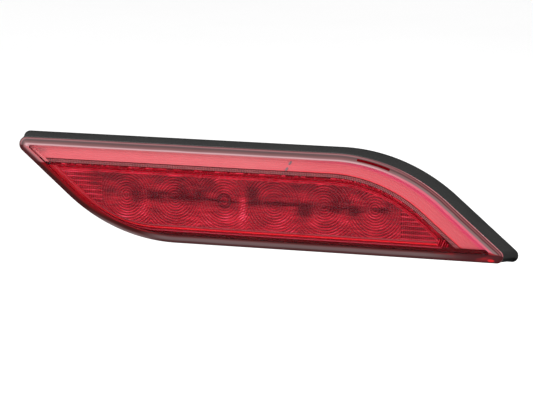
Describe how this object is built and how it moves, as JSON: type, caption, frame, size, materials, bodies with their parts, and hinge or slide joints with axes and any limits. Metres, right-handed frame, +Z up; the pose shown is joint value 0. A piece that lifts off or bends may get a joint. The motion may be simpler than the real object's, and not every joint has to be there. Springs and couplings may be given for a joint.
{
  "type": "third brake light",
  "caption": "Slim high-level stop lamp: a swept, leaf-shaped red lens with a light band and ring optics on a black housing, bolted on from behind.",
  "frame": {"origin": "centre of the back face of the foam gasket, on the plane of the panel that the lamp is bolted to", "axes": "+Y out of the back, into the vehicle; the lens faces -Y; +X along the width, to the right of someone looking at the lens; +Z up"},
  "size_m": [0.3206, 0.036, 0.0628],
  "materials": {
    "black_plastic": "fine-grained charcoal moulding",
    "red_lens": "clear red acrylic, polished",
    "seal_rubber": "soft black bead",
    "satin_band": "satin light guide, coral through the red lens",
    "rib_grey": "fine vertical ribs",
    "dark_bezel": "dark wine moulding",
    "red_optic": "clear red plate with ring optics",
    "mirror_coat": "vacuum metallised",
    "board_green": "green solder mask",
    "led_ceramic": "white package with a clear dome",
    "component_black": "black moulded body",
    "capacitor_tan": "tan ceramic body",
    "zinc_steel": "bright zinc plating",
    "foam": "closed-cell foam",
    "terminal_brass": "tinned brass blades",
    "vent_white": "white breather film"
  },
  "bodies": {
    "root": {"housing": "black_plastic", "outer_lens": "red_lens", "lens_seal": "seal_rubber", "light_band": "satin_band", "rib_strip": "rib_grey", "bezel": "dark_bezel", "optic_panel": "red_optic", "reflector": "mirror_coat", "led_board": "board_green", "led_1": "led_ceramic", "led_2": "led_ceramic", "led_3": "led_ceramic", "led_4": "led_ceramic", "led_5": "led_ceramic", "led_6": "led_ceramic", "band_led_1": "led_ceramic", "band_led_2": "led_ceramic", "band_led_3": "led_ceramic", "band_led_4": "led_ceramic", "band_led_5": "led_ceramic", "band_led_6": "led_ceramic", "band_led_7": "led_ceramic", "band_led_8": "led_ceramic", "driver_chip": "component_black", "resistor_1": "component_black", "resistor_2": "component_black", "resistor_3": "component_black", "resistor_4": "component_black", "input_diode": "component_black", "capacitor_1": "capacitor_tan", "capacitor_2": "capacitor_tan", "board_screw_1": "zinc_steel", "board_screw_2": "zinc_steel", "board_screw_3": "zinc_steel", "board_screw_4": "zinc_steel", "mounting_gasket": "foam", "stud_1": "zinc_steel", "washer_1": "zinc_steel", "nut_1": "zinc_steel", "stud_2": "zinc_steel", "washer_2": "zinc_steel", "nut_2": "zinc_steel", "inlet_shroud": "component_black", "inlet_seal": "seal_rubber", "terminal_1": "terminal_brass", "terminal_2": "terminal_brass", "vent_cap": "component_black", "vent_membrane": "vent_white"}
  },
  "joints": []
}
